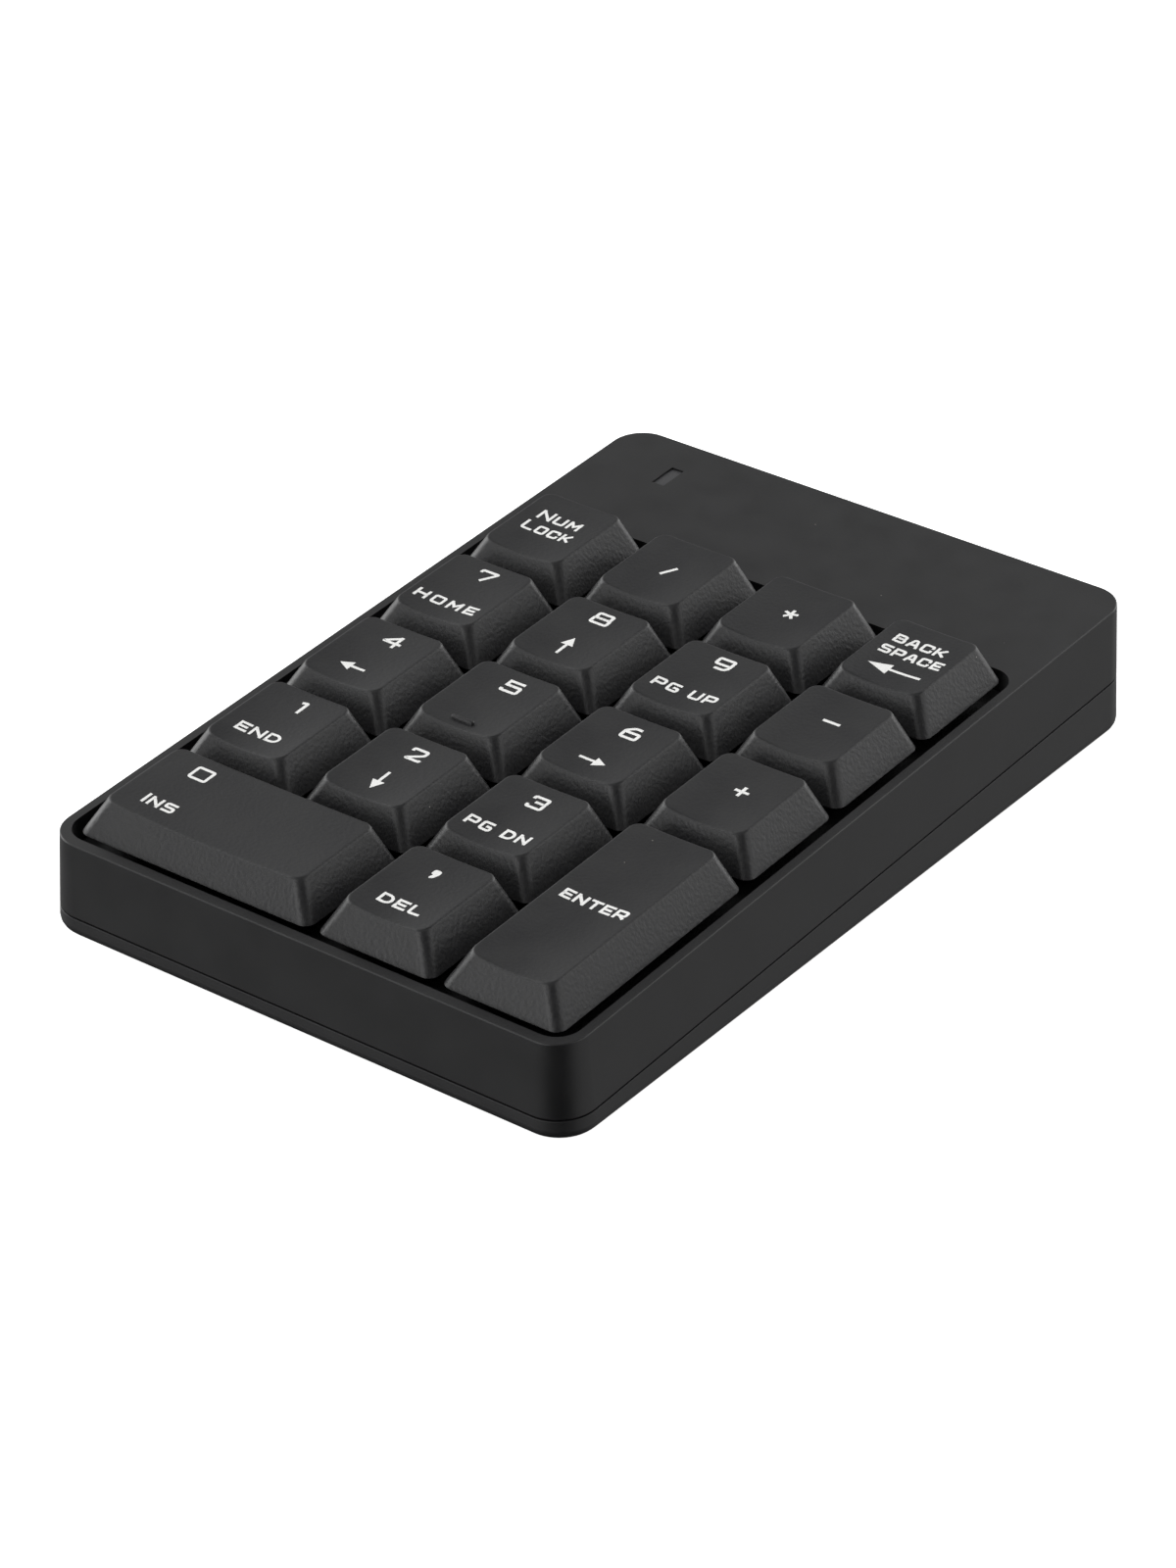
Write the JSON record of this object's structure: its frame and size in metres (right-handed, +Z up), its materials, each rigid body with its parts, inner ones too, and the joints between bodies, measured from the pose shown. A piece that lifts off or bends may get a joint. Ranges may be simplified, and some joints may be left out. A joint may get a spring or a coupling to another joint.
{
  "type": "wireless numeric keypad",
  "caption": "Low wedge-shaped numeric keypad for a computer: a two-part case, separate sprung keycaps over a silicone dome mat, and a battery bay with a sliding door.",
  "frame": {"origin": "on the desk, under the middle of the case", "axes": "+Z up, +Y from the user to the back edge, +X to the user's right"},
  "size_m": [0.0828, 0.1236, 0.0224],
  "materials": {
    "case_plastic": "charcoal ABS, moulded with a fine spark texture",
    "case_lower_plastic": "darker charcoal ABS, fine spark texture",
    "key_plastic": "charcoal ABS keycaps, matt, with white printed characters",
    "guide_plastic": "black ABS",
    "dome_silicone": "milky silicone rubber",
    "contact_film": "clear polyester film with printed silver tracks",
    "plate_steel": "galvanised sheet steel",
    "board_laminate": "green solder mask over glass-epoxy board",
    "component_black": "black moulded epoxy",
    "component_metal": "tinned cans and chip capacitors",
    "switch_metal": "tinned switch frame",
    "switch_plastic": "black acetal slider",
    "led_resin": "clear cast resin",
    "window_plastic": "smoked acrylic light pipe",
    "battery_jacket": "plain printed foil jacket with steel ends",
    "contact_nickel": "nickel-plated spring steel",
    "wire_steel": "drawn spring steel wire",
    "screw_steel": "black zinc screws",
    "board_screw_steel": "bright zinc screws",
    "foot_rubber": "soft black rubber"
  },
  "bodies": {
    "root": {"upper_case": "case_plastic", "lower_case": "case_lower_plastic", "key_guide_frame": "guide_plastic", "dome_mat": "dome_silicone", "membrane_top": "contact_film", "membrane_spacer": "contact_film", "membrane_bottom": "contact_film", "backing_plate": "plate_steel", "membrane_clamp": "guide_plastic", "controller_board": "board_laminate", "controller_chip": "component_black", "board_parts": "component_metal", "status_led": "led_resin", "light_pipe": "window_plastic", "switch_body": "switch_metal", "battery_cell": "battery_jacket", "battery_spring_contact": "contact_nickel", "battery_plate_contact": "contact_nickel", "case_screws": "screw_steel", "board_screws": "board_screw_steel", "rubber_feet": "foot_rubber"},
    "key_num_lock": {"key_num_lock": "key_plastic"},
    "key_divide": {"key_divide": "key_plastic"},
    "key_multiply": {"key_multiply": "key_plastic"},
    "key_backspace": {"key_backspace": "key_plastic"},
    "key_7": {"key_7": "key_plastic"},
    "key_8": {"key_8": "key_plastic"},
    "key_9": {"key_9": "key_plastic"},
    "key_minus": {"key_minus": "key_plastic"},
    "key_4": {"key_4": "key_plastic"},
    "key_5": {"key_5": "key_plastic"},
    "key_6": {"key_6": "key_plastic"},
    "key_plus": {"key_plus": "key_plastic"},
    "key_1": {"key_1": "key_plastic"},
    "key_2": {"key_2": "key_plastic"},
    "key_3": {"key_3": "key_plastic"},
    "key_enter": {"key_enter": "key_plastic"},
    "key_0": {"key_0": "key_plastic"},
    "key_decimal": {"key_decimal": "key_plastic"},
    "stabiliser_wire_0": {"stabiliser_wire_0": "wire_steel"},
    "stabiliser_wire_enter": {"stabiliser_wire_enter": "wire_steel"},
    "battery_door": {"battery_door": "case_lower_plastic"},
    "power_switch": {"power_switch": "switch_plastic"}
  },
  "joints": [
    {"name": "key_num_lock_press", "type": "slide", "parent": "root", "child": "key_num_lock", "axis": [0, 0.0391, -0.9992], "range_m": [0, 0.0025], "stiffness_N_per_m": 220, "springref_m": -0.0008, "deforming": ["dome_mat"]},
    {"name": "key_divide_press", "type": "slide", "parent": "root", "child": "key_divide", "axis": [0, 0.0391, -0.9992], "range_m": [0, 0.0025], "stiffness_N_per_m": 220, "springref_m": -0.0008, "deforming": ["dome_mat"]},
    {"name": "key_multiply_press", "type": "slide", "parent": "root", "child": "key_multiply", "axis": [0, 0.0391, -0.9992], "range_m": [0, 0.0025], "stiffness_N_per_m": 220, "springref_m": -0.0008, "deforming": ["dome_mat"]},
    {"name": "key_backspace_press", "type": "slide", "parent": "root", "child": "key_backspace", "axis": [0, 0.0391, -0.9992], "range_m": [0, 0.0025], "stiffness_N_per_m": 220, "springref_m": -0.0008, "deforming": ["dome_mat"]},
    {"name": "key_7_press", "type": "slide", "parent": "root", "child": "key_7", "axis": [0, 0.0391, -0.9992], "range_m": [0, 0.0025], "stiffness_N_per_m": 220, "springref_m": -0.0008, "deforming": ["dome_mat"]},
    {"name": "key_8_press", "type": "slide", "parent": "root", "child": "key_8", "axis": [0, 0.0391, -0.9992], "range_m": [0, 0.0025], "stiffness_N_per_m": 220, "springref_m": -0.0008, "deforming": ["dome_mat"]},
    {"name": "key_9_press", "type": "slide", "parent": "root", "child": "key_9", "axis": [0, 0.0391, -0.9992], "range_m": [0, 0.0025], "stiffness_N_per_m": 220, "springref_m": -0.0008, "deforming": ["dome_mat"]},
    {"name": "key_minus_press", "type": "slide", "parent": "root", "child": "key_minus", "axis": [0, 0.0391, -0.9992], "range_m": [0, 0.0025], "stiffness_N_per_m": 220, "springref_m": -0.0008, "deforming": ["dome_mat"]},
    {"name": "key_4_press", "type": "slide", "parent": "root", "child": "key_4", "axis": [0, 0.0391, -0.9992], "range_m": [0, 0.0025], "stiffness_N_per_m": 220, "springref_m": -0.0008, "deforming": ["dome_mat"]},
    {"name": "key_5_press", "type": "slide", "parent": "root", "child": "key_5", "axis": [0, 0.0391, -0.9992], "range_m": [0, 0.0025], "stiffness_N_per_m": 220, "springref_m": -0.0008, "deforming": ["dome_mat"]},
    {"name": "key_6_press", "type": "slide", "parent": "root", "child": "key_6", "axis": [0, 0.0391, -0.9992], "range_m": [0, 0.0025], "stiffness_N_per_m": 220, "springref_m": -0.0008, "deforming": ["dome_mat"]},
    {"name": "key_plus_press", "type": "slide", "parent": "root", "child": "key_plus", "axis": [0, 0.0391, -0.9992], "range_m": [0, 0.0025], "stiffness_N_per_m": 220, "springref_m": -0.0008, "deforming": ["dome_mat"]},
    {"name": "key_1_press", "type": "slide", "parent": "root", "child": "key_1", "axis": [0, 0.0391, -0.9992], "range_m": [0, 0.0025], "stiffness_N_per_m": 220, "springref_m": -0.0008, "deforming": ["dome_mat"]},
    {"name": "key_2_press", "type": "slide", "parent": "root", "child": "key_2", "axis": [0, 0.0391, -0.9992], "range_m": [0, 0.0025], "stiffness_N_per_m": 220, "springref_m": -0.0008, "deforming": ["dome_mat"]},
    {"name": "key_3_press", "type": "slide", "parent": "root", "child": "key_3", "axis": [0, 0.0391, -0.9992], "range_m": [0, 0.0025], "stiffness_N_per_m": 220, "springref_m": -0.0008, "deforming": ["dome_mat"]},
    {"name": "key_enter_press", "type": "slide", "parent": "root", "child": "key_enter", "axis": [0, 0.0391, -0.9992], "range_m": [0, 0.0025], "stiffness_N_per_m": 220, "springref_m": -0.0008, "deforming": ["dome_mat"]},
    {"name": "key_0_press", "type": "slide", "parent": "root", "child": "key_0", "axis": [0, 0.0391, -0.9992], "range_m": [0, 0.0025], "stiffness_N_per_m": 220, "springref_m": -0.0008, "deforming": ["dome_mat"]},
    {"name": "key_decimal_press", "type": "slide", "parent": "root", "child": "key_decimal", "axis": [0, 0.0391, -0.9992], "range_m": [0, 0.0025], "stiffness_N_per_m": 220, "springref_m": -0.0008, "deforming": ["dome_mat"]},
    {"name": "stabiliser_0_turn", "type": "hinge", "parent": "key_0", "child": "stabiliser_wire_0", "pos_m": [-0.01905, -0.04369, 0.01485], "axis": [-1, 0, 0], "range_deg": [0, 18]},
    {"name": "stabiliser_enter_turn", "type": "hinge", "parent": "key_enter", "child": "stabiliser_wire_enter", "pos_m": [0.02278, -0.03996, 0.015], "axis": [0, -0.9992, -0.0391], "range_deg": [0, 18]},
    {"name": "battery_door_slide", "type": "slide", "parent": "root", "child": "battery_door", "axis": [0, 1, 0], "range_m": [0, 0.014]},
    {"name": "power_switch_slide", "type": "slide", "parent": "root", "child": "power_switch", "axis": [1, 0, 0], "range_m": [0, 0.002]}
  ],
  "couplings": [
    {"joint": "stabiliser_0_turn", "follows": "key_0_press", "rad_per_m": 125.51},
    {"joint": "stabiliser_enter_turn", "follows": "key_enter_press", "rad_per_m": 125.51}
  ]
}
